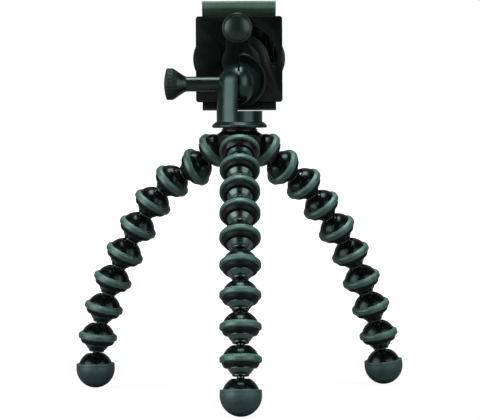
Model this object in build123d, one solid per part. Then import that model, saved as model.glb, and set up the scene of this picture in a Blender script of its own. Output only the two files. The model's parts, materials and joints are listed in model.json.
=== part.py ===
from build123d import *
import math
import os

# Flexible leg tripod with a phone clamp head. Millimetres, +Z up, X to the right of the
# photograph, Y away from its camera. The floor is z = 0 and the hub's axis is x = y = 0.

# One link of a leg, along its own axis from the middle of its socket towards the foot.
LINK_PITCH = 17.76
LINKS_PER_LEG = 8
BALL_R = 5.6
BALL_PLAY = 0.05
NECK_R = 2.1
DOME_R = 10.2
DOME_CROWN = 6.2
LIP_CUT = 1.3
LIP_WALL = 0.38
SWING_PLAY = 0.76
RING_BULGE = 1.25
RING_MIDDLE = 2.8
RING_START = 0.2
RING_END = 4.4
RING_INSET = 1.4
SKIRT_INSET = 1.0
SKIRT_END = 6.7
CUP_END = 7.3
CONE_SEAT_INSET = 3.0
CONE_SEAT = 6.4
CONE_SHOULDER = 7.7
CONE_MIDDLE_INSET = 4.0
CONE_MIDDLE = 9.2
WAIST_INSET = 5.6
WAIST_START = 11.2
BOOT_WALL = 1.2
BOOT_RIM_RISE = 3.7

# The hub: a core with three fixed ring lobes, each with the ball of a leg's first link.
LOBE_SPREAD = 4.0
LOBE_Z = 142.4
LOBE_ANGLE = 40.0
LOBE_REACH = 16.04
HUB_SHOULDER = 3.3
HUB_NECK_RISE = 10.6
HUB_CORE_DROP = 6.4
LOBE_TURN_ANGLES = {"front": -90.0, "left": 150.0, "right": 30.0}
LEG_TURN_ANGLES = {"front": -90.0, "left": 155.8, "right": 32.6}
# Slope of each link and of the foot below the horizontal, as the photograph shows them.
SLOPE_ANGLES = {
    "front": [42.4, 39.7, 45.0, 52.7, 61.5, 68.7, 74.3, 78.4, 82.0],
    "left": [24.8, 42.7, 55.5, 60.0, 62.1, 69.0, 75.3, 83.2, 91.1],
    "right": [32.2, 45.3, 51.2, 54.6, 63.2, 67.1, 70.2, 77.4, 84.0],
}
HUB_SCREW_R = 1.25
HUB_SCREW_HEAD_R = 2.6
HUB_SCREW_HEAD = 2.1
HUB_SCREW_LENGTH = 8.0
WASHER_THICKNESS = 0.6
WASHER_R = 9.6

# The mounting stud, its insert and the stem.
THREAD_R = 3.175
RUNNING_PLAY = 0.05
MOUNT_STUD_SEAT = 3.4
MOUNT_STUD_LENGTH = 11.2
INSERT_R = 5.5
INSERT_LENGTH = 7.4
FLANGE_R = 15.8
FLANGE_THICKNESS = 3.4
FLANGE_RIM = 1.1
STEM_R = 13.1
STEM_FOOT = 0.5
SHELF_RISE = 6.3
TILT_RISE = 15.5
EAR_TOP_R = 12.3
EAR_TOP_RISE = 11.4
EAR_FACE_X = -0.95
EAR_THICKNESS = 9.85

# The tilt bolt and its knob, along X.
BOLT_R = 2.5
BOLT_IN_KNOB = 17.2
SHANK_R = 4.3
KNOB_R = 9.1
KNOB_LENGTH = 32.3
KNOB_RIM = 5.2
KNOB_TAPER = 7.2
KNOB_CROWN = 1.4
FLUTES = 24
FLUTE_R = 0.7
NUT_FLATS = 8.0
NUT_DEPTH = 4.25
NUT_THICKNESS = 3.0
TILT_WASHER_R = 9.0
TILT_WASHER_THICKNESS = 1.3

# The tilt bracket.
BRACKET_EAR_R = 11.6
BRACKET_EAR_WIDTH = 8.6
BOSS_R = 15.6
BOSS_RISE = 2.2
BOSS_DEPTH = 7.0
BOSS_DISH = 3.2
BRACKET_BACK_Y = 16.6
ARM_THICKNESS = 3.0
ARM_HALF = 6.5
ARM_END_R = 7.5

# The clamp's turning centre, its track and the lock knob, along Y.
TURN_X = 1.0
TURN_RISE = 12.9
LOCK_ANGLE = 96.0
TRACK_R = 19.2
TRACK_HALF = 4.65
TRACK_DEPTH = 1.0
SLOT_HALF = 2.7
POST_R = 4.0
DISC_R = 11.0
DISC_THICKNESS = 0.4
LOCK_STUD_R = 2.5
LOCK_HEAD_R = 4.2
LOCK_HEAD_THICKNESS = 1.6
LOCK_KNOB_R = 8.8
LOCK_KNOB_LENGTH = 13.6
LOCK_KNOB_CAP = 4.0
LOCK_KNOB_RIM = 7.0
LOCK_KNOB_DISH = 1.2
LOCK_WASHER_R = 6.5
LOCK_WASHER_THICKNESS = 1.0
RETAINER_R = 6.5
RETAINER_THICKNESS = 0.9
PIVOT_SCREW_R = 1.5
PIVOT_SCREW_HEAD_R = 3.2
PIVOT_SCREW_HEAD = 1.6
PIVOT_SCREW_CAP = 1.5

# The phone clamp.
PLATE_THICKNESS = 3.2
TRACK_MARGIN = 2.65
SIDE_MARGIN = 1.25
CLAMP_DROP = 23.2
CLAMP_CORNER = 1.6
HOUSING_DEPTH = 7.8
HOUSING_WALL = 1.8
CAVITY_WALL = 5.3
CAVITY_FLOOR = 4.0
CAVITY_ROOF = 3.6
BUMP_R = 17.2
BUMP_RISE = 1.8
BUMP_OUT = 1.6
PAD_THICKNESS = 1.2
PAD_INSET = 6.1
PAD_END_INSET = 2.6
JAW_INSET = 3.7
JAW_GAP = 1.5
JAW_HEIGHT = 7.4
JAW_SET_IN = 1.0
JAW_REACH = 12.0
JAW_ROOF = 2.1
JAW_HOOK = 2.0
JAW_HOOK_DROP = 5.6
JAW_PAD = 1.0
LOWER_JAW_DROP = 4.8
LOWER_JAW_FLOOR = 3.3
LOWER_HOOK_RISE = 6.8
ROD_R = 1.5
ROD_INSET = 4.3
ROD_DEPTH = 4.0
ROD_LIFT = 3.0
ROD_SEAT = 5.6
SPRING_SPACING = 6.0
SPRING_R = 1.6
SPRING_WIRE_R = 0.35
SPRING_TURNS = 11
ANCHOR_END = 2.5
ANCHOR_LIFT = 1.1
ANCHOR_HEIGHT = 2.4
ANCHOR_BACK = 1.3
SMALL_SCREW_R = 1.0
SMALL_HEAD_R = 1.8
SMALL_HEAD = 1.4
SMALL_SCREW_GRIP = 2.0
CORNER_SCREW_INSET = 2.7
JAW_SCREW_INSET = 9.4
JAW_SCREW_GRIP = 3.0

# Sizes of a link that follow from those above.
SOCKET_R = BALL_R + BALL_PLAY
DOME_DROP = DOME_R - DOME_CROWN
LIP_RISE = DOME_CROWN - LIP_CUT
LIP_R = math.sqrt(DOME_R**2 - (DOME_R - LIP_CUT) ** 2)
MOUTH_R = LIP_R - LIP_WALL
SWING_R = math.hypot(LIP_R, LIP_RISE) + SWING_PLAY
RING_R = DOME_R + RING_BULGE
RING_SEAT_R = DOME_R - RING_INSET
SKIRT_END_R = DOME_R - SKIRT_INSET
CONE_SEAT_R = DOME_R - CONE_SEAT_INSET
CONE_MIDDLE_R = DOME_R - CONE_MIDDLE_INSET
WAIST_R = DOME_R - WAIST_INSET
LOBE_R = DOME_R + LOBE_SPREAD
HUB_NECK_R = DOME_R
HUB_SHOULDER_R = HUB_NECK_R + HUB_SHOULDER

# Heights, and places along X and Y, that follow from the sizes above.
HUB_TOP = LOBE_Z + HUB_NECK_RISE
HUB_BOTTOM = LOBE_Z - HUB_CORE_DROP
MOUNT_STUD_BOTTOM = HUB_TOP - MOUNT_STUD_SEAT
FLANGE_BOTTOM = HUB_TOP + WASHER_THICKNESS
FLANGE_TOP = FLANGE_BOTTOM + FLANGE_THICKNESS
SHELF_Z = FLANGE_TOP + SHELF_RISE
TILT_Z = SHELF_Z + TILT_RISE
BOSS_Z = TILT_Z + BOSS_RISE
TURN_Z = TILT_Z + TURN_RISE
LOCK_X = TURN_X + TRACK_R * math.cos(math.radians(LOCK_ANGLE))
LOCK_Z = TURN_Z + TRACK_R * math.sin(math.radians(LOCK_ANGLE))
BUMP_Z = TURN_Z + BUMP_RISE
CLAMP_TOP = TURN_Z + TRACK_R + TRACK_HALF + TRACK_MARGIN
CLAMP_BOTTOM = TURN_Z - CLAMP_DROP
CAVITY_TOP = CLAMP_TOP - CAVITY_ROOF
CAVITY_BOTTOM = CLAMP_BOTTOM + CAVITY_FLOOR
ANCHOR_BOTTOM = CAVITY_BOTTOM + ANCHOR_LIFT
ROD_BOTTOM = CAVITY_BOTTOM + ROD_LIFT
JAW_BOTTOM = CLAMP_TOP + JAW_GAP
JAW_TOP = JAW_BOTTOM + JAW_HEIGHT
LOWER_JAW_BOTTOM = CLAMP_BOTTOM - LOWER_JAW_DROP
CLAMP_HALF = TRACK_R + TRACK_HALF + SIDE_MARGIN
CAVITY_HALF = CLAMP_HALF - CAVITY_WALL
PAD_HALF = CLAMP_HALF - PAD_INSET
JAW_HALF = CLAMP_HALF - JAW_INSET
JAW_SCREW_X = JAW_HALF - JAW_SCREW_INSET
ROD_X = CAVITY_HALF - ROD_INSET
SPRING_X = ROD_X - SPRING_SPACING
CORNER_SCREW_X = CLAMP_HALF - CORNER_SCREW_INSET
BRACKET_FACE_X = EAR_FACE_X + TILT_WASHER_THICKNESS
SPOT_FACE_X = EAR_FACE_X - EAR_THICKNESS
KNOB_FACE_X = SPOT_FACE_X - KNOB_LENGTH
BOLT_START_X = SPOT_FACE_X - BOLT_IN_KNOB
NUT_X = BRACKET_FACE_X + NUT_DEPTH
BOLT_END_X = NUT_X + NUT_THICKNESS
ARM_FRONT_Y = BRACKET_BACK_Y - ARM_THICKNESS
BOSS_FRONT_Y = BRACKET_BACK_Y - BOSS_DEPTH
LOCK_WASHER_Y = ARM_FRONT_Y - LOCK_WASHER_THICKNESS
LOCK_KNOB_FRONT_Y = LOCK_WASHER_Y - LOCK_KNOB_LENGTH
LOCK_STUD_FRONT_Y = LOCK_KNOB_FRONT_Y + LOCK_KNOB_CAP
PLATE_BACK_Y = BRACKET_BACK_Y + DISC_THICKNESS
PLATE_FRONT_Y = PLATE_BACK_Y + PLATE_THICKNESS
SCREW_TIP_Y = PLATE_FRONT_Y - SMALL_SCREW_GRIP
HOUSING_FRONT_Y = PLATE_FRONT_Y + HOUSING_DEPTH
JAW_BACK_Y = PLATE_BACK_Y + JAW_SET_IN
JAW_FRONT_Y = HOUSING_FRONT_Y + JAW_REACH
ROD_Y = PLATE_FRONT_Y + ROD_DEPTH


def round_arc(middle, start, end):
    """An arc of a ball seen in profile, between two points (radius, height)."""
    radius = math.hypot(start[0], start[1] - middle)
    first = math.atan2(start[0], start[1] - middle)
    last = math.atan2(end[0], end[1] - middle)
    angle = (first + last) / 2
    return ThreePointArc(start, (radius * math.sin(angle), middle + radius * math.cos(angle)), end)


def across(radius, offset):
    """Radius of a ball's cross-section at a distance from its middle."""
    return math.sqrt(radius**2 - offset**2)


def spun(*edges):
    """The solid that a closed profile sweeps round the Z axis."""
    return revolve(Plane.XZ * make_face(list(edges)), Axis.Z, 360)


def joined(points):
    """Straight edges through the points."""
    return [Line(a, b) for a, b in zip(points, points[1:])]


def rod(radius, length, origin, direction):
    """A round bar from a point along a direction."""
    return Plane(origin=origin, z_dir=direction) * Cylinder(
        radius, length, align=(Align.CENTER, Align.CENTER, Align.MIN)
    )


def tube(inner, outer, length, origin, direction):
    """A round bar with a hole along its axis."""
    return rod(outer, length, origin, direction) - rod(inner, length, origin, direction)


def block(low, high):
    """A box between two corners."""
    size = [b - a for a, b in zip(low, high)]
    return Pos(*low) * Box(*size, align=(Align.MIN, Align.MIN, Align.MIN))


def mouth_edges():
    """The socket's inside from its floor up to the lip."""
    edge = -across(SOCKET_R, MOUTH_R)
    return [round_arc(0, (0, SOCKET_R), (MOUTH_R, edge))] + joined(
        [(MOUTH_R, edge), (MOUTH_R, -LIP_RISE), (LIP_R, -LIP_RISE)]
    )


def cup_outside(start):
    """The cup's outside from the dome to its inner bottom: ring seat, skirt and cone seat."""
    ring_top = (across(DOME_R, DOME_DROP - RING_START), RING_START)
    return [round_arc(DOME_DROP, start, ring_top)] + joined(
        [
            ring_top,
            (RING_SEAT_R, RING_START),
            (RING_SEAT_R, RING_END),
            (DOME_R, RING_END),
            (SKIRT_END_R, SKIRT_END),
            (SKIRT_END_R - 0.6, CUP_END),
            (CONE_SEAT_R, CUP_END),
            (CONE_SEAT_R, CONE_SEAT),
            (0, CONE_SEAT),
        ]
    )


def make_cup():
    """Socket cup: domed top, seat of the grip ring, and a skirt that holds the cone."""
    edges = mouth_edges() + cup_outside((LIP_R, -LIP_RISE))
    edges.append(Line((0, CONE_SEAT), (0, SOCKET_R)))
    return spun(*edges)


def make_lobe():
    """A lobe of the hub: the same cup without a socket."""
    top = DOME_DROP - DOME_R
    edges = cup_outside((0, top))
    edges.append(Line((0, CONE_SEAT), (0, top)))
    return spun(*edges)


def make_cone(reach):
    """Cone with a hollow underside, a neck and the ball that the next cup holds."""
    rim = reach - across(SWING_R, WAIST_R)
    neck_start = reach - across(SWING_R, NECK_R)
    neck_end = reach - across(BALL_R, NECK_R)
    short = LINK_PITCH - reach
    edges = joined(
        [
            (0, CONE_SEAT),
            (CONE_SEAT_R, CONE_SEAT),
            (CONE_SEAT_R, CONE_SHOULDER),
            (CONE_MIDDLE_R, CONE_MIDDLE - short / 2),
            (WAIST_R, WAIST_START - short),
            (WAIST_R, rim),
        ]
    )
    edges.append(round_arc(reach, (WAIST_R, rim), (NECK_R, neck_start)))
    edges.append(Line((NECK_R, neck_start), (NECK_R, neck_end)))
    edges.append(round_arc(reach, (NECK_R, neck_end), (0, reach + BALL_R)))
    edges.append(Line((0, reach + BALL_R), (0, CONE_SEAT)))
    return spun(*edges)


def make_ring():
    """Rubber grip ring round the cup."""
    top_r = across(DOME_R, DOME_DROP - RING_START) + 0.15
    end_r = DOME_R + 0.2
    return spun(
        Line((RING_SEAT_R, RING_START), (top_r, RING_START)),
        ThreePointArc((top_r, RING_START), (RING_R - 0.55, RING_START + 1.0), (RING_R, RING_MIDDLE)),
        ThreePointArc((RING_R, RING_MIDDLE), (RING_R - 0.2, RING_END - 0.7), (end_r, RING_END)),
        Line((end_r, RING_END), (RING_SEAT_R, RING_END)),
        Line((RING_SEAT_R, RING_END), (RING_SEAT_R, RING_START)),
    )


def make_foot_cup():
    """Foot ball with the last socket in its top."""
    edges = mouth_edges()
    edges.append(round_arc(DOME_DROP, (LIP_R, -LIP_RISE), (0, DOME_DROP + DOME_R)))
    edges.append(Line((0, DOME_DROP + DOME_R), (0, SOCKET_R)))
    return spun(*edges)


def make_boot():
    """Rubber boot round the foot ball."""
    rim = DOME_DROP - BOOT_RIM_RISE
    outer = DOME_R + BOOT_WALL
    outer_rim = (across(outer, BOOT_RIM_RISE), rim)
    inner_rim = (across(DOME_R, BOOT_RIM_RISE), rim)
    return spun(
        round_arc(DOME_DROP, outer_rim, (0, DOME_DROP + outer)),
        Line((0, DOME_DROP + outer), (0, DOME_DROP + DOME_R)),
        round_arc(DOME_DROP, (0, DOME_DROP + DOME_R), inner_rim),
        Line(inner_rim, outer_rim),
    )


def slope_vector(turn, slope):
    """Unit vector at a turn about Z and a slope below the horizontal, in degrees."""
    t, s = math.radians(turn), math.radians(slope)
    return Vector(math.cos(t) * math.cos(s), math.sin(t) * math.cos(s), -math.sin(s))


def lobe_plane(leg):
    """Where the hub's lobe for a leg stands, its Z axis towards the leg."""
    turn = math.radians(LOBE_TURN_ANGLES[leg])
    centre = (LOBE_R * math.cos(turn), LOBE_R * math.sin(turn), LOBE_Z)
    sideways = Vector(-math.sin(turn), math.cos(turn), 0)
    return Plane(origin=centre, x_dir=sideways, z_dir=slope_vector(LOBE_TURN_ANGLES[leg], LOBE_ANGLE))


def foot_gap(slopes, lift):
    """Height of the boot's lowest point above the floor, all slopes turned by a lift."""
    turned = [math.radians(s + lift) for s in slopes]
    start = LOBE_Z - LOBE_REACH * math.sin(math.radians(LOBE_ANGLE))
    drop = sum(LINK_PITCH * math.sin(s) for s in turned[:-1]) + DOME_DROP * math.sin(turned[-1])
    return start - drop - DOME_R - BOOT_WALL


def settled(slopes):
    """The slopes, turned alike until the boot stands on the floor."""
    low, high = -30.0, 30.0
    for _ in range(60):
        middle = (low + high) / 2
        if foot_gap(slopes, middle) > 0:
            low = middle
        else:
            high = middle
    return [s + low for s in slopes]


def leg_planes(leg):
    """Where each link and the foot of a leg stand, from the hub down."""
    turn = LEG_TURN_ANGLES[leg]
    sideways = Vector(-math.sin(math.radians(turn)), math.cos(math.radians(turn)), 0)
    lobe = lobe_plane(leg)
    point = lobe.origin + lobe.z_dir * LOBE_REACH
    planes = []
    for slope in settled(SLOPE_ANGLES[leg]):
        along = slope_vector(turn, slope)
        planes.append(Plane(origin=point, x_dir=sideways, z_dir=along))
        point = point + along * LINK_PITCH
    return planes


def make_hub():
    """Hub body: a waisted core with the three lobes that carry the legs."""
    middle = (HUB_TOP + HUB_BOTTOM) / 2
    body = spun(
        *joined(
            [
                (0, HUB_BOTTOM),
                (HUB_NECK_R * 0.66, HUB_BOTTOM),
                (HUB_NECK_R, HUB_BOTTOM + 3.0),
                (HUB_SHOULDER_R - 1.0, middle),
                (HUB_SHOULDER_R, HUB_TOP - 3.4),
                (HUB_NECK_R, HUB_TOP - 1.2),
                (HUB_NECK_R, HUB_TOP),
                (0, HUB_TOP),
                (0, HUB_BOTTOM),
            ]
        )
    )
    lobe = make_lobe()
    for leg in LOBE_TURN_ANGLES:
        body += lobe_plane(leg).location * lobe
    body -= rod(THREAD_R, HUB_TOP - MOUNT_STUD_BOTTOM, (0, 0, MOUNT_STUD_BOTTOM), (0, 0, 1))
    body -= rod(HUB_SCREW_R, HUB_SCREW_LENGTH, (0, 0, HUB_BOTTOM), (0, 0, 1))
    return body


def make_hub_screw():
    """Screw that closes the hub from below."""
    head = rod(HUB_SCREW_HEAD_R, HUB_SCREW_HEAD, (0, 0, HUB_BOTTOM), (0, 0, -1))
    return head + rod(HUB_SCREW_R, HUB_SCREW_LENGTH, (0, 0, HUB_BOTTOM), (0, 0, 1))


def make_stem():
    """Stem: round flange and base in one piece with the half-round, domed ear."""
    top = TILT_Z + EAR_TOP_RISE
    rim_r = FLANGE_R - FLANGE_RIM
    rim_z = FLANGE_BOTTOM + FLANGE_RIM
    stem = spun(
        Line((0, FLANGE_BOTTOM), (rim_r, FLANGE_BOTTOM)),
        CenterArc((rim_r, rim_z), FLANGE_RIM, -90, 150),
        *joined(
            [
                (rim_r + FLANGE_RIM * 0.5, rim_z + FLANGE_RIM * math.sqrt(0.75)),
                (STEM_R + STEM_FOOT, FLANGE_TOP),
                (STEM_R, FLANGE_TOP),
                (STEM_R, SHELF_Z),
                (EAR_TOP_R, TILT_Z),
            ]
        ),
        EllipticalCenterArc((0, TILT_Z), EAR_TOP_R, EAR_TOP_RISE, 0, arc_size=90),
        Line((0, top), (0, FLANGE_BOTTOM)),
    )
    half = block((EAR_FACE_X, -STEM_R - 1, SHELF_Z), (STEM_R + 1, STEM_R + 1, top + 1))
    stem -= half
    stem -= rod(INSERT_R, INSERT_LENGTH, (0, 0, FLANGE_BOTTOM), (0, 0, 1))
    stem -= rod(BOLT_R + RUNNING_PLAY, STEM_R + 1, (0, 0, TILT_Z), (-1, 0, 0))
    stem -= rod(SHANK_R + 0.2, STEM_R, (SPOT_FACE_X, 0, TILT_Z), (-1, 0, 0))
    return stem


def fluted(solid, radius, axis_point, axis, across_dir, length):
    """Shallow flutes along a knob's rim."""
    plane = Plane(origin=axis_point, x_dir=across_dir, z_dir=axis)
    cutter = Cylinder(FLUTE_R, length, align=(Align.CENTER, Align.CENTER, Align.MIN))
    cutters = []
    for step in range(FLUTES):
        cutters.append(Rot(0, 0, step * 360 / FLUTES) * Pos(radius + FLUTE_R * 0.55, 0, 0) * cutter)
    return solid - plane * Compound(cutters)


def make_tilt_knob():
    """Thumb knob with a fluted rim, a hollow taper and a long shank."""
    neck = KNOB_RIM + KNOB_TAPER
    middle = (KNOB_R + SHANK_R) / 2 + 0.3
    profile = [
        ThreePointArc((0, 0), (KNOB_R * 0.55, KNOB_CROWN * 0.28), (KNOB_R - 0.8, KNOB_CROWN)),
        Line((KNOB_R - 0.8, KNOB_CROWN), (KNOB_R, KNOB_CROWN + 1.0)),
        Line((KNOB_R, KNOB_CROWN + 1.0), (KNOB_R, KNOB_RIM - 0.6)),
        Line((KNOB_R, KNOB_RIM - 0.6), (KNOB_R - 0.5, KNOB_RIM)),
        ThreePointArc((KNOB_R - 0.5, KNOB_RIM), (middle, KNOB_RIM + KNOB_TAPER * 0.45), (SHANK_R, neck)),
        Line((SHANK_R, neck), (SHANK_R, KNOB_LENGTH)),
        Line((SHANK_R, KNOB_LENGTH), (0, KNOB_LENGTH)),
        Line((0, KNOB_LENGTH), (0, 0)),
    ]
    knob = Plane(origin=(KNOB_FACE_X, 0, TILT_Z), x_dir=(0, 1, 0), z_dir=(1, 0, 0)) * spun(*profile)
    knob = fluted(knob, KNOB_R, (KNOB_FACE_X, 0, TILT_Z), (1, 0, 0), (0, 1, 0), KNOB_RIM)
    return knob - rod(BOLT_R, SPOT_FACE_X - BOLT_START_X, (BOLT_START_X, 0, TILT_Z), (1, 0, 0))


def make_lock_knob():
    """Round lock knob with a fluted rim and a dished face."""
    rim_end = LOCK_KNOB_RIM
    length = LOCK_KNOB_LENGTH
    edge = LOCK_KNOB_R
    neck_r = SHANK_R + 0.8
    profile = [
        ThreePointArc((0, LOCK_KNOB_DISH), (edge * 0.5, LOCK_KNOB_DISH * 0.65), (edge - 1.2, 0)),
        Line((edge - 1.2, 0), (edge, 1.0)),
        Line((edge, 1.0), (edge, rim_end - 0.6)),
        Line((edge, rim_end - 0.6), (edge - 0.6, rim_end)),
        ThreePointArc((edge - 0.6, rim_end), (neck_r + 1.0, rim_end + 1.8), (neck_r, length)),
        Line((neck_r, length), (0, length)),
        Line((0, length), (0, LOCK_KNOB_DISH)),
    ]
    centre = (LOCK_X, LOCK_KNOB_FRONT_Y, LOCK_Z)
    knob = Plane(origin=centre, x_dir=(1, 0, 0), z_dir=(0, 1, 0)) * spun(*profile)
    knob = fluted(knob, edge, centre, (0, 1, 0), (1, 0, 0), rim_end)
    return knob - rod(LOCK_STUD_R, length, (LOCK_X, LOCK_STUD_FRONT_Y - 0.1, LOCK_Z), (0, 1, 0))


def hexagon(flats, length, origin, direction):
    """A hexagonal bar from a point along a direction."""
    sketch = RegularPolygon(flats / 2, 6, major_radius=False)
    return Plane(origin=origin, z_dir=direction) * extrude(sketch, length)


def make_bracket():
    """Tilt bracket: domed ear, dished half-round boss, arm and turning post."""
    start = BRACKET_FACE_X
    ear_profile = [
        Line((0, 0), (BRACKET_EAR_R, 0)),
        EllipticalCenterArc((0, 0), BRACKET_EAR_R, BRACKET_EAR_WIDTH, 0, arc_size=90),
        Line((0, BRACKET_EAR_WIDTH), (0, 0)),
    ]
    ear = Plane(origin=(start, 0, TILT_Z), x_dir=(0, 1, 0), z_dir=(1, 0, 0)) * spun(*ear_profile)
    depth = BOSS_DEPTH
    boss_profile = joined(
        [
            (0, 0),
            (BOSS_R, 0),
            (BOSS_R, depth - 0.5),
            (BOSS_R - 0.5, depth),
            (BOSS_R - 1.3, depth),
            (BOSS_R - 5.2, depth - BOSS_DISH),
            (0, depth - BOSS_DISH),
            (0, 0),
        ]
    )
    boss = Plane(origin=(0, BRACKET_BACK_Y, BOSS_Z), x_dir=(1, 0, 0), z_dir=(0, -1, 0)) * spun(*boss_profile)
    boss &= block((start, BOSS_FRONT_Y, BOSS_Z - BOSS_R), (start + BOSS_R, BRACKET_BACK_Y, BOSS_Z + BOSS_R))
    web_half = BRACKET_EAR_R / 2
    web = block((start, web_half, TILT_Z - web_half), (start + web_half, BRACKET_BACK_Y, TILT_Z + web_half))
    arm = block((LOCK_X - ARM_HALF, ARM_FRONT_Y, TILT_Z + web_half), (LOCK_X + ARM_HALF, BRACKET_BACK_Y, LOCK_Z))
    arm += rod(ARM_END_R, ARM_THICKNESS, (LOCK_X, ARM_FRONT_Y, LOCK_Z), (0, 1, 0))
    arm += rod(DISC_R, ARM_THICKNESS, (TURN_X, ARM_FRONT_Y, TURN_Z), (0, 1, 0))
    post_end = PLATE_FRONT_Y + RUNNING_PLAY
    post = rod(POST_R, post_end - ARM_FRONT_Y, (TURN_X, ARM_FRONT_Y, TURN_Z), (0, 1, 0))
    bracket = ear + boss + web + arm + post
    bracket -= rod(BOLT_R + RUNNING_PLAY, NUT_X, (0, 0, TILT_Z), (1, 0, 0))
    bracket -= hexagon(NUT_FLATS, BRACKET_EAR_WIDTH, (NUT_X, 0, TILT_Z), (1, 0, 0))
    bracket -= rod(LOCK_STUD_R, ARM_THICKNESS, (LOCK_X, ARM_FRONT_Y, LOCK_Z), (0, 1, 0))
    screw_tip = ARM_FRONT_Y + PIVOT_SCREW_CAP
    bracket -= rod(PIVOT_SCREW_R, post_end - screw_tip, (TURN_X, screw_tip, TURN_Z), (0, 1, 0))
    return bracket


def turned_track(half, near_y, far_y):
    """Quarter-round track about the turning centre, from the lock stud clockwise."""
    depth = far_y - near_y
    ring = tube(TRACK_R - half, TRACK_R + half, depth, (0, 0, 0), (0, 1, 0))
    ring &= block((0, 0, 0), (2 * TRACK_R, depth, 2 * TRACK_R))
    ring += rod(half, depth, (0, 0, TRACK_R), (0, 1, 0))
    ring += rod(half, depth, (TRACK_R, 0, 0), (0, 1, 0))
    return Pos(TURN_X, near_y, TURN_Z) * Rot(0, 90 - LOCK_ANGLE, 0) * ring


def clamp_slab(near_y, far_y):
    """The clamp's square outline with its rounded corners and the two round side bumps."""
    slab = block((-CLAMP_HALF, near_y, CLAMP_BOTTOM), (CLAMP_HALF, far_y, CLAMP_TOP))
    slab = fillet(slab.edges().filter_by(Axis.Y), CLAMP_CORNER)
    for side in (-1, 1):
        centre = (side * (CLAMP_HALF + BUMP_OUT - BUMP_R), near_y, BUMP_Z)
        slab += rod(BUMP_R, far_y - near_y, centre, (0, 1, 0))
    return slab


def corner_points():
    """Where the four housing screws stand, as (x, z)."""
    rows = (CLAMP_BOTTOM + CORNER_SCREW_INSET, CLAMP_TOP - CORNER_SCREW_INSET)
    return [(x, z) for x in (-CORNER_SCREW_X, CORNER_SCREW_X) for z in rows]


def make_clamp_plate():
    """Back plate of the clamp with the recessed track, its slot and the pivot hole."""
    plate = clamp_slab(PLATE_BACK_Y, PLATE_FRONT_Y)
    plate -= turned_track(TRACK_HALF, PLATE_BACK_Y, PLATE_BACK_Y + TRACK_DEPTH)
    plate -= turned_track(SLOT_HALF, PLATE_BACK_Y, PLATE_FRONT_Y)
    plate -= rod(POST_R + RUNNING_PLAY, PLATE_THICKNESS, (TURN_X, PLATE_BACK_Y, TURN_Z), (0, 1, 0))
    for x, z in corner_points():
        plate -= rod(SMALL_SCREW_R, SMALL_SCREW_GRIP, (x, SCREW_TIP_Y, z), (0, 1, 0))
    return plate


def make_housing():
    """Hollow housing with the two round side bumps."""
    body = clamp_slab(PLATE_FRONT_Y, HOUSING_FRONT_Y)
    body -= block(
        (-CAVITY_HALF, PLATE_FRONT_Y, CAVITY_BOTTOM),
        (CAVITY_HALF, HOUSING_FRONT_Y - HOUSING_WALL, CAVITY_TOP),
    )
    body -= turned_track(LOCK_HEAD_R + 0.4, PLATE_FRONT_Y, PLATE_FRONT_Y + LOCK_HEAD_THICKNESS + 0.5)
    for side in (-1, 1):
        spring_hole = SPRING_R + SPRING_WIRE_R + 0.2
        body -= rod(ROD_R + RUNNING_PLAY, CAVITY_ROOF, (side * ROD_X, ROD_Y, CAVITY_TOP), (0, 0, 1))
        body -= rod(spring_hole, CAVITY_ROOF, (side * SPRING_X, ROD_Y, CAVITY_TOP), (0, 0, 1))
        body -= rod(SMALL_SCREW_R, JAW_SCREW_GRIP, (side * JAW_SCREW_X, ROD_Y, CLAMP_BOTTOM), (0, 0, 1))
    for x, z in corner_points():
        body -= rod(SMALL_SCREW_R, HOUSING_DEPTH, (x, PLATE_FRONT_Y, z), (0, 1, 0))
        body -= rod(SMALL_HEAD_R, SMALL_HEAD, (x, HOUSING_FRONT_Y - SMALL_HEAD, z), (0, 1, 0))
    return body


def make_housing_screws():
    """The four screws that hold plate and housing together."""
    screws = []
    head_y = HOUSING_FRONT_Y - SMALL_HEAD
    for x, z in corner_points():
        screw = rod(SMALL_HEAD_R, SMALL_HEAD - 0.1, (x, head_y, z), (0, 1, 0))
        screw += rod(SMALL_SCREW_R, head_y - SCREW_TIP_Y, (x, SCREW_TIP_Y, z), (0, 1, 0))
        screws.append(screw.solids()[0])
    return screws


def make_upper_jaw():
    """Sliding jaw: a bar over the housing, with a roof and a hook round the phone's edge."""
    bar = block((-JAW_HALF, JAW_BACK_Y, JAW_BOTTOM), (JAW_HALF, HOUSING_FRONT_Y, JAW_TOP))
    roof = block((-JAW_HALF, HOUSING_FRONT_Y - 1, JAW_TOP - JAW_ROOF), (JAW_HALF, JAW_FRONT_Y, JAW_TOP))
    hook = block(
        (-JAW_HALF, JAW_FRONT_Y - JAW_HOOK, JAW_TOP - JAW_HOOK_DROP), (JAW_HALF, JAW_FRONT_Y, JAW_TOP)
    )
    jaw = bar + roof + hook
    jaw = fillet(jaw.edges().filter_by(Axis.Z).filter_by_position(Axis.Y, JAW_BACK_Y - 1, JAW_BACK_Y + 1), 1.0)
    jaw = chamfer(jaw.edges().filter_by(Axis.X).filter_by_position(Axis.Y, JAW_BACK_Y - 1, JAW_BACK_Y + 1), 0.7)
    for side in (-1, 1):
        jaw -= rod(ROD_R, ROD_SEAT, (side * ROD_X, ROD_Y, JAW_BOTTOM), (0, 0, 1))
    return jaw


def make_upper_pad():
    """Rubber strip under the upper jaw's roof."""
    top = JAW_TOP - JAW_ROOF
    return block((-PAD_HALF, HOUSING_FRONT_Y, top - JAW_PAD), (PAD_HALF, JAW_FRONT_Y - JAW_HOOK, top))


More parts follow.
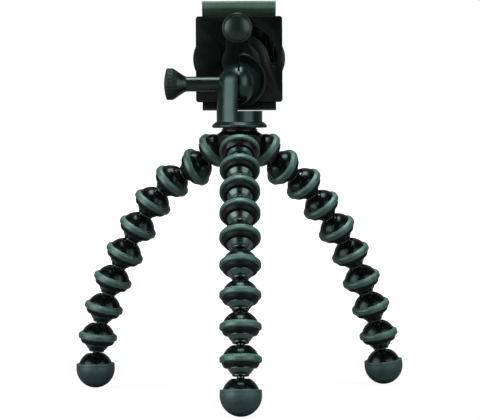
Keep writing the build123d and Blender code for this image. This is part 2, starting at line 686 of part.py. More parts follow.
def make_lower_jaw():
    """Fixed jaw under the housing."""
    low = LOWER_JAW_BOTTOM
    base = block((-JAW_HALF, PLATE_FRONT_Y, low), (JAW_HALF, HOUSING_FRONT_Y, CLAMP_BOTTOM))
    floor = block((-JAW_HALF, HOUSING_FRONT_Y - 1, low), (JAW_HALF, JAW_FRONT_Y, low + LOWER_JAW_FLOOR))
    hook = block((-JAW_HALF, JAW_FRONT_Y - JAW_HOOK, low), (JAW_HALF, JAW_FRONT_Y, low + LOWER_HOOK_RISE))
    jaw = base + floor + hook
    jaw = chamfer(
        jaw.edges().filter_by(Axis.X).filter_by_position(Axis.Z, low - 0.1, low + 0.1), 0.8
    )
    for side in (-1, 1):
        x = side * JAW_SCREW_X
        jaw -= rod(SMALL_SCREW_R, LOWER_JAW_DROP, (x, ROD_Y, low), (0, 0, 1))
        jaw -= rod(SMALL_HEAD_R, SMALL_HEAD + 0.2, (x, ROD_Y, low), (0, 0, 1))
    return jaw


def make_lower_pad():
    """Rubber strip on the lower jaw's floor."""
    bottom = LOWER_JAW_BOTTOM + LOWER_JAW_FLOOR
    return block((-PAD_HALF, HOUSING_FRONT_Y, bottom), (PAD_HALF, JAW_FRONT_Y - JAW_HOOK, bottom + JAW_PAD))


def make_jaw_screws():
    """The two screws of the lower jaw."""
    screws = []
    for side in (-1, 1):
        x = side * JAW_SCREW_X
        low = LOWER_JAW_BOTTOM + 0.2
        screw = rod(SMALL_HEAD_R, SMALL_HEAD, (x, ROD_Y, low), (0, 0, 1))
        screw += rod(SMALL_SCREW_R, CLAMP_BOTTOM + JAW_SCREW_GRIP - low, (x, ROD_Y, low), (0, 0, 1))
        screws.append(screw.solids()[0])
    return screws


def make_springs():
    """The two extension springs that draw the upper jaw shut."""
    bottom = ANCHOR_BOTTOM + ANCHOR_HEIGHT
    height = JAW_BOTTOM - bottom
    path = Helix(pitch=height / SPRING_TURNS, height=height, radius=SPRING_R)
    section = Plane(origin=path @ 0, z_dir=path % 0) * Circle(SPRING_WIRE_R)
    coil = sweep(section, path=path, is_frenet=True)
    coil &= rod(SPRING_R + 1, height, (0, 0, 0), (0, 0, 1))
    return [(Pos(side * SPRING_X, ROD_Y, bottom) * coil).solids()[0] for side in (-1, 1)]


def make_pad():
    """Rubber pad on the clamp's front."""
    low = (-PAD_HALF, HOUSING_FRONT_Y, CLAMP_BOTTOM + PAD_END_INSET)
    pad = block(low, (PAD_HALF, HOUSING_FRONT_Y + PAD_THICKNESS, CLAMP_TOP - PAD_END_INSET))
    return fillet(pad.edges().filter_by(Axis.Y), 3.0)


def save(name, *solids):
    """Writes one node as a STEP file."""
    shape = solids[0] if len(solids) == 1 else Compound(children=list(solids))
    shape.label = name
    export_step(shape, f"parts/{name}.step")


def one(shape):
    """The single solid of a shape."""
    found = shape.solids()
    if len(found) != 1:
        raise ValueError(f"expected one solid, found {len(found)}")
    return found[0]


def main():
    os.makedirs("parts", exist_ok=True)
    cup, cone, ring = one(make_cup()), one(make_cone(LINK_PITCH)), one(make_ring())
    foot_cup, boot = one(make_foot_cup()), one(make_boot())
    for leg in SLOPE_ANGLES:
        planes = leg_planes(leg)
        for index in range(LINKS_PER_LEG):
            place = planes[index].location
            save(f"{leg}_link_{index + 1}", place * cup, place * cone, place * ring)
        place = planes[LINKS_PER_LEG].location
        save(f"{leg}_foot", place * foot_cup, place * boot)

    up = (0, 0, 1)
    away = (0, 1, 0)
    right = (1, 0, 0)
    save("hub_body", one(make_hub()))
    lobe_cone = one(make_cone(LOBE_REACH))
    lobes = [lobe_plane(leg).location for leg in LOBE_TURN_ANGLES]
    save("hub_cones", *[place * lobe_cone for place in lobes])
    save("hub_rings", *[place * ring for place in lobes])
    save("hub_screw", one(make_hub_screw()))
    save("hub_washer", one(tube(THREAD_R + 0.15, WASHER_R, WASHER_THICKNESS, (0, 0, HUB_TOP), up)))
    save("mount_stud", one(rod(THREAD_R, MOUNT_STUD_LENGTH, (0, 0, MOUNT_STUD_BOTTOM), up)))
    save("stem_insert", one(tube(THREAD_R + RUNNING_PLAY, INSERT_R, INSERT_LENGTH, (0, 0, FLANGE_BOTTOM), up)))
    save("stem", one(make_stem()))
    save("tilt_bolt", one(rod(BOLT_R, BOLT_END_X - BOLT_START_X, (BOLT_START_X, 0, TILT_Z), right)))
    save("tilt_knob", one(make_tilt_knob()))
    tilt_washer = tube(
        BOLT_R + RUNNING_PLAY, TILT_WASHER_R, TILT_WASHER_THICKNESS, (EAR_FACE_X, 0, TILT_Z), right
    )
    save("tilt_washer", one(tilt_washer))
    nut = hexagon(NUT_FLATS, NUT_THICKNESS, (NUT_X, 0, TILT_Z), right)
    save("tilt_nut", one(nut - rod(BOLT_R + RUNNING_PLAY, NUT_THICKNESS, (NUT_X, 0, TILT_Z), right)))
    save("tilt_bracket", one(make_bracket()))
    save("friction_disc", one(tube(POST_R, DISC_R, DISC_THICKNESS, (TURN_X, BRACKET_BACK_Y, TURN_Z), away)))
    post_end = PLATE_FRONT_Y + RUNNING_PLAY
    retainer = tube(PIVOT_SCREW_R, RETAINER_R, RETAINER_THICKNESS, (TURN_X, post_end, TURN_Z), away)
    save("pivot_retainer", one(retainer))
    head_y = post_end + RETAINER_THICKNESS
    tip_y = ARM_FRONT_Y + PIVOT_SCREW_CAP
    screw = rod(PIVOT_SCREW_HEAD_R, PIVOT_SCREW_HEAD, (TURN_X, head_y, TURN_Z), away)
    screw += rod(PIVOT_SCREW_R, head_y - tip_y, (TURN_X, tip_y, TURN_Z), away)
    save("pivot_screw", one(screw))
    stud = rod(LOCK_STUD_R, post_end - LOCK_STUD_FRONT_Y, (LOCK_X, LOCK_STUD_FRONT_Y, LOCK_Z), away)
    stud += rod(LOCK_HEAD_R, LOCK_HEAD_THICKNESS, (LOCK_X, post_end, LOCK_Z), away)
    save("lock_stud", one(stud))
    lock_washer = tube(
        LOCK_STUD_R + RUNNING_PLAY, LOCK_WASHER_R, LOCK_WASHER_THICKNESS, (LOCK_X, LOCK_WASHER_Y, LOCK_Z), away
    )
    save("lock_washer", one(lock_washer))
    save("lock_knob", one(make_lock_knob()))
    save("clamp_plate", one(make_clamp_plate()))
    save("clamp_housing", one(make_housing()))
    save("housing_screws", *make_housing_screws())
    save("front_pad", one(make_pad()))
    save("lower_jaw", one(make_lower_jaw()))
    save("lower_jaw_pad", one(make_lower_pad()))
    save("lower_jaw_screws", *make_jaw_screws())
    save("upper_jaw", one(make_upper_jaw()))
    save("upper_jaw_pad", one(make_upper_pad()))
    rods = [rod(ROD_R, JAW_BOTTOM + ROD_SEAT - ROD_BOTTOM, (s * ROD_X, ROD_Y, ROD_BOTTOM), up) for s in (-1, 1)]
    save("guide_rods", *rods)
    save("jaw_springs", *make_springs())
    anchor_half = SPRING_X + ANCHOR_END
    anchor = block(
        (-anchor_half, ROD_Y - ANCHOR_BACK, ANCHOR_BOTTOM),
        (anchor_half, HOUSING_FRONT_Y - HOUSING_WALL, ANCHOR_BOTTOM + ANCHOR_HEIGHT),
    )
    save("spring_anchor", one(anchor))


main()
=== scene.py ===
import json
import logging
import math
from dataclasses import dataclass, field
from enum import Enum
from typing import Callable, Optional, Sequence, Union

import bmesh
import bpy
from mathutils import Euler, Matrix, Vector


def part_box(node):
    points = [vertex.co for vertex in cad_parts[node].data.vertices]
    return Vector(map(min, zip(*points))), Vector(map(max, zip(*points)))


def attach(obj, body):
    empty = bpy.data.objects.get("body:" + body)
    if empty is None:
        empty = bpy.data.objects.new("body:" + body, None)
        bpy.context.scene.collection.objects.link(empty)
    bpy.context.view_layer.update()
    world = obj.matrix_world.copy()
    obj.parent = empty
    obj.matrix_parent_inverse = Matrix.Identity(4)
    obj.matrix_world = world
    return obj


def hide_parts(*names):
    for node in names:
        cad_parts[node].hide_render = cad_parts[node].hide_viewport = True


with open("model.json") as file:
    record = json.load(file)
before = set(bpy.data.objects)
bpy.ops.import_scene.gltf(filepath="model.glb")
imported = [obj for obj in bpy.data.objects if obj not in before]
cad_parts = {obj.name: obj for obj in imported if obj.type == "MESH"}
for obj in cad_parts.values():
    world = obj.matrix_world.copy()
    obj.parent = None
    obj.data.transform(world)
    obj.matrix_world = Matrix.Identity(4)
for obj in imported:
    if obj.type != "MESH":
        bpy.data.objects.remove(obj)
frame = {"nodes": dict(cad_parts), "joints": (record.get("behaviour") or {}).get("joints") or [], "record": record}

LOG = logging.getLogger("leg_tripod")
MM = 0.001
MERGE_MM = 0.0005
CAD_MERGE_M = 0.000002
LEVEL_MM = 0.01
WHITE = (1.0, 1.0, 1.0)
Pair = tuple[float, float]
Colour = tuple[float, float, float]
Outline = Sequence[tuple[float, ...]]
Setting = Union[str, bool]


class Leg(Enum):
    """The three legs, named as the camera sees them."""

    FRONT = "front"
    LEFT = "left"
    RIGHT = "right"


class Value:
    """A shader socket whose arithmetic adds Math nodes.

    Args:
        graph: Graph that the socket belongs to.
        socket: The output socket.
    """

    def __init__(self, graph: "Graph", socket: Optional[bpy.types.NodeSocket]) -> None:
        self.graph = graph
        self.socket = socket

    def _math(self, operation: str, first: "Operand", second: "Operand") -> "Value":
        """Adds one Math node.

        Args:
            operation: Its operation.
            first: First operand.
            second: Second operand.

        Returns:
            The result.
        """
        return self.graph.add("ShaderNodeMath", {0: first, 1: second}, operation=operation)

    def __add__(self, other: "Operand") -> "Value":
        """Returns the sum with a second operand."""
        return self._math("ADD", self, other)

    def __rsub__(self, other: "Operand") -> "Value":
        """Returns what is left of another operand."""
        return self._math("SUBTRACT", other, self)

    def __mul__(self, other: "Operand") -> "Value":
        """Returns the product with a second operand."""
        return self._math("MULTIPLY", self, other)

    def clamped(self, low: float, high: float, to_low: float, to_high: float) -> "Value":
        """Maps a span of the value to another span, held at its ends.

        Args:
            low: Value that becomes to_low.
            high: Value that becomes to_high.
            to_low: First result.
            to_high: Last result.

        Returns:
            The mapped value.
        """
        inputs = {"From Min": low, "From Max": high, "To Min": to_low, "To Max": to_high, "Value": self}
        return self.graph.add("ShaderNodeMapRange", inputs, clamp=True)


Operand = Union[Value, float]


class Graph:
    """The node tree of one material or of the world.

    Args:
        tree: The tree, which is cleared.
    """

    def __init__(self, tree: bpy.types.NodeTree) -> None:
        self.tree = tree
        tree.nodes.clear()

    def add(
        self, kind: str, inputs: Optional[dict] = None, output: Union[str, int] = 0, **settings: Setting
    ) -> Value:
        """Adds a node, sets it up and links its inputs.

        Args:
            kind: The node's type name.
            inputs: Values or links by socket name or number.
            output: Socket that the result stands for.
            **settings: Properties of the node, set before its inputs.

        Returns:
            The chosen output.
        """
        node = self.tree.nodes.new(kind)
        for name, value in settings.items():
            setattr(node, name, value)
        for name, value in (inputs or {}).items():
            socket = node.inputs[name]
            if isinstance(value, Value):
                self.tree.links.new(value.socket, socket)
            elif isinstance(value, tuple):
                socket.default_value = (*value, 1.0)
            else:
                socket.default_value = value
        return Value(self, node.outputs[output] if node.outputs else None)

    def place(self) -> Value:
        """Adds the object coordinates.

        Returns:
            The coordinates.
        """
        return self.add("ShaderNodeTexCoord", output="Object")

    def noise(self, scale: float, detail: float, rough: float = 0.55) -> Value:
        """Noise in object space.

        Args:
            scale: Frequency per metre.
            detail: Octaves.
            rough: Weight of the finer octaves.

        Returns:
            The noise value, about 0.5 on average.
        """
        inputs = {"Vector": self.place(), "Scale": scale, "Detail": detail, "Roughness": rough}
        return self.add("ShaderNodeTexNoise", inputs)

    def blend(self, factor: Operand, low: Union[Colour, Value], high: Union[Colour, Value]) -> Value:
        """Mixes two colours.

        Args:
            factor: Share of the second colour.
            low: First colour.
            high: Second colour.

        Returns:
            The mixed colour.
        """
        return self.add("ShaderNodeMix", {0: factor, 6: low, 7: high}, output=2, data_type="RGBA")

    def bump(self, height: Value, distance: float, strength: float = 0.6) -> Value:
        """Bump from a height value.

        Args:
            height: Height, from 0 to 1.
            distance: Height in metres that 1 stands for.
            strength: Share of the full effect.

        Returns:
            The changed normal.
        """
        return self.add("ShaderNodeBump", {"Height": height, "Strength": strength, "Distance": distance})


CLOUDS = (0.3, 0.7)
SPECKS = (0.62, 0.72)
UPWARD = (0.2, 0.9)
DUST_COLOUR = (0.32, 0.35, 0.34)


@dataclass(frozen=True)
class MouldedFinish:
    """A moulded or coated finish whose colour and gloss vary a little over the surface.

    Args:
        name: Name of the material.
        colour: Main colour.
        second: Colour that the mottling leans to.
        rough: Lowest and highest roughness.
        metallic: Metal share.
        specular: Specular level of the base layer.
        index: Index of refraction of the base layer.
        tint: Colour of its highlights.
        mottle: Size of the mottling in metres.
        grain: Size of the fine grain in metres.
        grain_height: Height of that grain in metres.
        dust: Share of pale dust on upward faces.
    """

    name: str
    colour: Colour
    second: Colour
    rough: Pair = (0.3, 0.4)
    metallic: float = 0.0
    specular: float = 0.5
    index: float = 1.5
    tint: Colour = (0.86, 1.0, 0.96)
    mottle: float = 0.006
    grain: float = 0.0004
    grain_height: float = 0.00001
    dust: float = 0.0

    def material(self) -> bpy.types.Material:
        """Makes the material, the first time that it is asked for.

        Returns:
            The material.
        """
        known = bpy.data.materials.get(self.name)
        if known is not None:
            return known
        made = bpy.data.materials.new(self.name)
        made.use_nodes = True
        graph = Graph(made.node_tree)
        cloudy = graph.noise(1.0 / self.mottle, detail=4.0).clamped(*CLOUDS, 0.0, 1.0)
        colour = graph.blend(cloudy, self.colour, self.second)
        fine = graph.noise(1.0 / self.grain, detail=2.0)
        if self.dust:
            upward = graph.add("ShaderNodeNewGeometry", output="Normal")
            height = graph.add("ShaderNodeSeparateXYZ", {0: upward}, output="Z")
            speck = fine.clamped(*SPECKS, 0.0, self.dust) * height.clamped(*UPWARD, 0.0, 1.0)
            colour = graph.blend(speck, colour, DUST_COLOUR)
        inputs = {
            "Base Color": colour,
            "Roughness": cloudy.clamped(0.0, 1.0, *self.rough),
            "Metallic": self.metallic,
            "Specular IOR Level": self.specular,
            "IOR": self.index,
            "Specular Tint": self.tint,
            "Normal": graph.bump(fine, self.grain_height),
        }
        shader = graph.add("ShaderNodeBsdfPrincipled", inputs)
        graph.add("ShaderNodeOutputMaterial", {"Surface": shader})
        return made


GLOSS_BLACK = MouldedFinish(
    "gloss_black_plastic", (0.0006, 0.0014, 0.0012), (0.0016, 0.0030, 0.0026),
    rough=(0.20, 0.27), specular=0.5, tint=(0.66, 1.0, 0.92), mottle=0.004, grain_height=0.000004,
)
CONE_BLACK = MouldedFinish(
    "cone_black_plastic", (0.0006, 0.0018, 0.0015), (0.0016, 0.0036, 0.0030),
    rough=(0.21, 0.27), specular=0.85, index=1.9, tint=(0.66, 1.0, 0.92), mottle=0.004, grain_height=0.000004,
)
WAIST_GLOSS = MouldedFinish(
    "waist_gloss", (0.0006, 0.0018, 0.0015), (0.0016, 0.0036, 0.0030),
    rough=(0.12, 0.16), specular=0.6, index=1.8, mottle=0.002, grain_height=0.000001,
)
SKIRT_SATIN = MouldedFinish(
    "skirt_satin", (0.0010, 0.0030, 0.0024), (0.0024, 0.0055, 0.0046),
    rough=(0.36, 0.46), specular=0.22, mottle=0.004, grain_height=0.000008,
)
GRIP_RUBBER = MouldedFinish(
    "grip_rubber", (0.050, 0.112, 0.096), (0.070, 0.142, 0.122),
    rough=(0.34, 0.44), specular=0.8, tint=(0.7, 1.0, 0.92), mottle=0.003, grain=0.00035,
    grain_height=0.00002, dust=0.2,
)
BOOT_RUBBER = MouldedFinish(
    "boot_rubber", (0.036, 0.088, 0.086), (0.048, 0.106, 0.104),
    rough=(0.42, 0.54), specular=0.45, mottle=0.006, grain=0.0004, grain_height=0.00002, dust=0.12,
)
HEAD_SATIN = MouldedFinish(
    "head_satin", (0.0008, 0.0042, 0.0034), (0.0020, 0.0065, 0.0054),
    rough=(0.26, 0.32), specular=0.46, index=1.8, tint=(0.62, 1.0, 0.88), mottle=0.008, grain_height=0.000008,
)
KNOB_SATIN = MouldedFinish(
    "knob_satin", (0.0008, 0.0036, 0.0028), (0.0020, 0.0060, 0.0048),
    rough=(0.26, 0.32), specular=0.46, index=1.8, tint=(0.70, 1.0, 0.87), mottle=0.006, grain_height=0.00001,
)
PLATE_BLACK = MouldedFinish(
    "plate_black", (0.0014, 0.0024, 0.0018), (0.0026, 0.0038, 0.0030),
    rough=(0.22, 0.29), specular=0.5, mottle=0.01, grain_height=0.00001,
)
# The jaws' own pale green coat. On the lower jaw's bottom lip the same pale colour is a painted highlight for the
# light that the bent edge catches.
JAW_COAT_AND_LIP_HIGHLIGHT = MouldedFinish(
    "jaw_coat_and_painted_lip_highlight", (0.105, 0.200, 0.150), (0.130, 0.232, 0.176),
    rough=(0.42, 0.52), specular=0.3, mottle=0.008, grain_height=0.000015,
)
PAD_RUBBER = MouldedFinish(
    "pad_rubber", (0.018, 0.025, 0.023), (0.028, 0.037, 0.034),
    rough=(0.55, 0.7), specular=0.35, mottle=0.004, grain=0.0006, grain_height=0.00003,
)
KNOB_GRIP = MouldedFinish(
    "knob_grip", (0.0010, 0.0040, 0.0030), (0.0022, 0.0066, 0.0052),
    rough=(0.5, 0.6), specular=0.5, tint=(0.70, 1.0, 0.87), mottle=0.004, grain_height=0.00001,
)
# Near-black steel: the guide rods, springs and anchor are darkened as painted shade for the inside of the clamp's
# slot.
SPRING_STEEL_IN_PAINTED_SHADE = MouldedFinish(
    "spring_steel_painted_shade", (0.012, 0.013, 0.013), (0.022, 0.023, 0.024),
    rough=(0.4, 0.5), metallic=1.0, mottle=0.002, grain_height=0.000006,
)
BRIGHT_STEEL = MouldedFinish(
    "bright_steel", (0.52, 0.52, 0.53), (0.60, 0.60, 0.60),
    rough=(0.24, 0.34), metallic=1.0, mottle=0.002, grain_height=0.000006,
)
TURNED_BRASS = MouldedFinish(
    "turned_brass", (0.60, 0.42, 0.16), (0.68, 0.50, 0.22),
    rough=(0.25, 0.35), metallic=1.0, mottle=0.002, grain_height=0.000006,
)


def standing(origin: Vector, along: Vector) -> Matrix:
    """A place whose Z axis points along a direction.

    Args:
        origin: The origin, in millimetres.
        along: Direction of the Z axis.

    Returns:
        The matrix.
    """
    turn = along.to_track_quat("Z", "Y").to_matrix().to_4x4()
    return Matrix.Translation(origin) @ turn


@dataclass
class Profile:
    """An outline of straight stretches, arcs and rounded corners, which can be spun round its axis.

    Args:
        points: Corners as (radius, height) or (radius, height, rounding), in millimetres.
        arcs: Height of the middle, on the axis, of the arc that starts from a corner, by its number.
        steps: Pieces that such an arc is divided into.
        turns: Pieces that the full turn is divided into.
        closed: Whether the last corner joins the first.
        fine: Longest straight piece, or 0 to leave them whole.
        corner_steps: Pieces that a corner's rounding is divided into.
    """

    points: Outline
    arcs: dict[int, float] = field(default_factory=dict)
    steps: int = 12
    turns: int = 72
    closed: bool = False
    fine: float = 0.0
    corner_steps: int = 6

    def rounded(self, index: int) -> list[Pair]:
        """A corner, as an arc that touches both of its sides if it has a rounding.

        Args:
            index: Number of the corner.

        Returns:
            Its points.
        """
        count = len(self.points)
        corner = self.points[index]
        at = Vector(corner[:2])
        if len(corner) < 3:
            return [tuple(at)]
        before = Vector(self.points[index - 1][:2]) - at
        after = Vector(self.points[(index + 1) % count][:2]) - at
        half = before.angle(after) / 2
        reach = min(corner[2] / math.tan(half), before.length / 2, after.length / 2)
        start, end = before.normalized() * reach, after.normalized() * reach
        middle = (start + end).normalized() * (reach / math.cos(half))
        sweep = math.pi - 2 * half
        first, last = start - middle, end - middle
        made = []
        for step in range(self.corner_steps + 1):
            share = step / self.corner_steps
            spoke = first * math.sin(sweep * (1 - share)) + last * math.sin(sweep * share)
            made.append(tuple(at + middle + spoke / math.sin(sweep)))
        return made

    def outline(self) -> list[Pair]:
        """The corners with their roundings and the steps of each arc between them.

        Returns:
            The points in order.
        """
        made: list[Pair] = []
        count = len(self.points)
        for index in range(count):
            made += self.rounded(index)
            middle = self.arcs.get(index)
            if middle is None:
                continue
            start, end = self.points[index], self.points[(index + 1) % count]
            radius = math.hypot(start[0], start[1] - middle)
            first = math.atan2(start[0], start[1] - middle)
            final = math.atan2(end[0], end[1] - middle)
            for step in range(1, self.steps):
                angle = first + (final - first) * step / self.steps
                made.append((radius * math.sin(angle), middle + radius * math.cos(angle)))
        return made

    def divided(self, points: list[Pair]) -> list[Pair]:
        """Divides the longer straight stretches.

        Args:
            points: The outline.

        Returns:
            The outline with no stretch longer than fine.
        """
        made = [points[0]]
        for start, end in zip(points, points[1:]):
            count = max(1, math.ceil(math.dist(start, end) / self.fine))
            stretch = [Vector(start).lerp(Vector(end), step / count) for step in range(1, count + 1)]
            made += [tuple(point) for point in stretch]
        return made

    def spun(self) -> bmesh.types.BMesh:
        """Spins the outline round its axis into a closed shell.

        Returns:
            The shell in millimetres.
        """
        points = self.outline()
        if self.fine:
            points = self.divided(points)
        mesh = bmesh.new()
        verts = [mesh.verts.new((radius, 0.0, height)) for radius, height in points]
        edges = [mesh.edges.new(pair) for pair in zip(verts, verts[1:])]
        if self.closed:
            edges.append(mesh.edges.new((verts[-1], verts[0])))
        bmesh.ops.spin(
            mesh, geom=verts + edges, cent=(0, 0, 0), axis=(0, 0, 1), angle=math.tau,
            steps=self.turns, use_merge=True,
        )
        bmesh.ops.remove_doubles(mesh, verts=mesh.verts, dist=MERGE_MM)
        return mesh


def across(radius: float, offset: float) -> float:
    """Radius of a ball's cross-section at a distance from its middle.

    Args:
        radius: Radius of the ball.
        offset: The distance.

    Returns:
        The radius of the cross-section.
    """
    return math.sqrt(radius * radius - offset * offset)


def box_mm(node: str) -> tuple[Vector, Vector]:
    """Corners of a CAD node's box, in millimetres.

    Args:
        node: The node.

    Returns:
        The low and the high corner.
    """
    low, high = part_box(node)
    return Vector(low) / MM, Vector(high) / MM


def pivot_of(child: str) -> Vector:
    """Middle of the joint that carries a body.

    Args:
        child: The body.

    Returns:
        The middle, in millimetres.
    """
    return next(Vector(joint["pos_m"]) / MM for joint in frame["joints"] if joint["child"] == child)


def body_of(node: str) -> str:
    """Name of the body that carries a CAD node.

    Args:
        node: The node.

    Returns:
        Its body.
    """
    bodies = frame["record"]["behaviour"]["bodies"]
    return next(body for body, nodes in bodies.items() if node in nodes)


def slot_of(node: str) -> str:
    """Material slot that the record gives a CAD node.

    Args:
        node: The node.

    Returns:
        The slot.
    """
    return next(part["material_slot"] for part in frame["record"]["subparts"] if part["node"] == node)


def stand_in(
    mesh: bmesh.types.BMesh, node: str, word: str, finish: MouldedFinish,
    second: Optional[MouldedFinish] = None, degrees: float = 35.0,
    place: Optional[Matrix] = None, slot: Optional[str] = None,
) -> bpy.types.Object:
    """Turns a bmesh into a dressed piece that stands for a CAD node and rides on its body.

    Args:
        mesh: The bmesh in millimetres, which is freed.
        node: The CAD node.
        word: What the piece is, for its name.
        finish: Its finish.
        second: Finish of the faces with material number 1, if there are any.
        degrees: Angle above which an edge stays sharp.
        place: Where its own origin and axes stand in the frame, in millimetres.
        slot: Material slot, if it isn't the node's own; the piece is not given it.

    Returns:
        The new piece.
    """
    bmesh.ops.remove_doubles(mesh, verts=mesh.verts, dist=MERGE_MM)
    matrix = Matrix.Scale(MM, 4)
    if place is not None:
        matrix = matrix @ place
    bmesh.ops.transform(mesh, matrix=matrix, verts=mesh.verts)
    bmesh.ops.recalc_face_normals(mesh, faces=mesh.faces)
    name = f"{node}_{word}"
    data = bpy.data.meshes.new(name)
    mesh.to_mesh(data)
    mesh.free()
    for polygon in data.polygons:
        polygon.use_smooth = True
    data.set_sharp_from_angle(angle=math.radians(degrees))
    for used in (finish, second):
        if used:
            data.materials.append(used.material())
    piece = bpy.data.objects.new(name, data)
    bpy.context.scene.collection.objects.link(piece)
    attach(piece, body_of(node))
    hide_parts(node)
    slot or slot_of(node)
    return piece


def split_faces(mesh: bmesh.types.BMesh, test: Callable[[Vector], bool]) -> None:
    """Gives the second finish to the faces whose middle passes a test.

    Args:
        mesh: The mesh.
        test: The test.
    """
    for face in mesh.faces:
        face.material_index = int(test(face.calc_center_median()))


@dataclass
class TurnedPiece:
    """One turned piece of a link.

    Args:
        word: What it is, for its name.
        profile: Its outline.
        finish: Its finish.
        slot: Its material slot.
        second: Finish of the part beyond a height, if it is another.
        split: That height.
    """

    word: str
    profile: Profile
    finish: MouldedFinish
    slot: str
    second: Optional[MouldedFinish] = None
    split: float = 0.0

    def build(self, node: str, place: Matrix) -> bpy.types.Object:
        """Builds and dresses the piece.

        Args:
            node: CAD node that it stands for.
            place: Where it stands.

        Returns:
            The new piece.
        """
        mesh = self.profile.spun()
        if self.second:
            split_faces(mesh, lambda middle: middle.z > self.split)
        return stand_in(mesh, node, self.word, self.finish, self.second, place=place, slot=self.slot)


@dataclass
class LinkShape:
    """Sizes of a link, a hub lobe and a foot, in millimetres.

    Heights are along the link's axis, from the middle of its socket towards its ball.

    Args:
        pitch: Distance from one ball joint to the next.
        ball: Radius of the ball.
        socket: Radius of the socket.
        neck: Radius of the neck between cone and ball.
        mouth: Radius of the socket's opening.
        lip: How far the socket reaches past its middle.
        dome: Radius of the dome, and of the cup where the ring ends.
        dome_drop: Height of the dome's middle.
        dome_edge: How far the dome's finish reaches in under the ring.
        ring: Greatest radius of the ring.
        ring_start: Height at which the ring starts.
        ring_end: Height at which the ring ends.
        ring_flat: Width of the ring's flat start.
        ring_wide: Heights between which the ring is widest.
        ring_draft: How much less than its greatest radius the ring has at the first of them.
        ring_cover: How far the ring's end stands out from the cup.
        seat: Radius that the ring sits on.
        skirt_end: Height at which the skirt ends.
        skirt_bend: The skirt's bend, as its distance inside the dome's radius and below the ring.
        skirt_draft: How far the skirt's end lies inside the dome's radius.
        cone_seat: Height of the cone's seat in the cup.
        cone_top: Radius of the cone at its seat.
        cone_rim: Height of the cone's straight start.
        cone_bend: The cone's hollow bend, as its distance outside the waist and its height.
        waist: Radius of the waist.
        waist_start: Height at which the cone meets the waist.
        waist_gloss: Height from which the waist is glossy.
        waist_edge: Width and height of the chamfer at the waist's end.
        swing: Radius of the cone's hollow end about the next joint, which clears the next dome.
        boot: Radius of the foot's boot.
        boot_rise: How far the boot reaches up past the foot ball's middle.
        boot_start: How far below the lip the boot's ball starts.
        boot_lip: How far the lip stands out from that ball.
        lip_height: Height of the lip.
        lip_flare: How much wider the lip is at its lower edge.
        dome_steps: Pieces that a dome's arc is divided into.
        foot_steps: Pieces that a foot's arc is divided into.
    """

    pitch: float = 17.76
    ball: float = 5.6
    socket: float = 5.65
    neck: float = 2.1
    mouth: float = 4.6
    lip: float = 4.9
    dome: float = 10.2
    dome_drop: float = 4.0
    dome_edge: float = 0.1
    ring: float = 11.45
    ring_start: float = 0.2
    ring_end: float = 4.4
    ring_flat: float = 0.95
    ring_wide: Pair = (1.35, 4.0)
    ring_draft: float = 0.05
    ring_cover: float = 0.2
    seat: float = 8.8
    skirt_end: float = 7.1
    skirt_bend: Pair = (0.4, 1.5)
    skirt_draft: float = 1.3
    cone_seat: float = 6.2
    cone_top: float = 7.2
    cone_rim: float = 1.3
    cone_bend: Pair = (0.9, 9.9)
    waist: float = 4.6
    waist_start: float = 10.6
    waist_gloss: float = 10.95
    waist_edge: Pair = (0.2, 0.25)
    swing: float = 7.75
    boot: float = 11.4
    boot_rise: float = 3.1
    boot_start: float = 1.6
    boot_lip: float = 0.3
    lip_height: float = 1.1
    lip_flare: float = 0.1
    dome_steps: int = 16
    foot_steps: int = 28

    def socket_edges(self) -> list[tuple]:
        """Outline of the socket.

        Returns:
            Its corners, from the socket's floor to the outside of its lip.
        """
        edge = -across(self.socket, self.mouth)
        lip_r = across(self.dome, self.lip + self.dome_drop)
        return [(0.0, self.socket), (self.mouth, edge), (self.mouth, -self.lip, 0.15), (lip_r, -self.lip)]

    def below_dome(self) -> list[tuple]:
        """Outline of the cup below its dome.

        Returns:
            Its corners, from the dome's edge over the ring's seat and the skirt to the cone's seat.
        """
        bend_in, bend_drop = self.skirt_bend
        return [
            (across(self.dome, self.dome_drop - self.ring_start), self.ring_start),
            (self.seat, self.ring_start),
            (self.seat, self.ring_end),
            (self.dome, self.ring_end, 0.15),
            (self.dome - bend_in, self.ring_end + bend_drop, 2.5),
            (self.dome - self.skirt_draft, self.skirt_end, 0.6),
            (self.cone_top, self.skirt_end, 0.2),
            (self.cone_top, self.cone_seat),
            (0.0, self.cone_seat),
        ]

    def cup(self) -> TurnedPiece:
        """Socket cup, with a glossy dome and a satin skirt.

        Returns:
            The piece.
        """
        points = self.socket_edges() + self.below_dome()
        profile = Profile(points, arcs={0: 0.0, 3: self.dome_drop}, steps=self.dome_steps)
        return TurnedPiece("cup", profile, GLOSS_BLACK, "link", SKIRT_SATIN, self.ring_start + self.dome_edge)

    def cone(self, reach: float) -> TurnedPiece:
        """Cone with its neck and ball.

        Args:
            reach: Distance from the cup's middle to the ball's.

        Returns:
            The piece.
        """
        short = self.pitch - reach
        bend_out, bend = self.cone_bend
        edge_in, edge_height = self.waist_edge
        rim = reach - across(self.swing, self.waist)
        points = [
            (0.0, self.cone_seat),
            (self.cone_top, self.cone_seat),
            (self.cone_top, self.cone_seat + self.cone_rim, 0.4),
            (self.waist + bend_out, bend - short / 2, 2.0),
            (self.waist, self.waist_start - short, 0.9),
            (self.waist, rim - edge_height, 0.1),
            (self.waist - edge_in, rim),
            (self.neck, reach - across(self.swing, self.neck)),
            (self.neck, reach - across(self.ball, self.neck)),
            (0.0, reach + self.ball),
        ]
        profile = Profile(points, arcs={6: reach, 8: reach})
        return TurnedPiece("cone", profile, CONE_BLACK, "link", WAIST_GLOSS, self.waist_gloss - short)

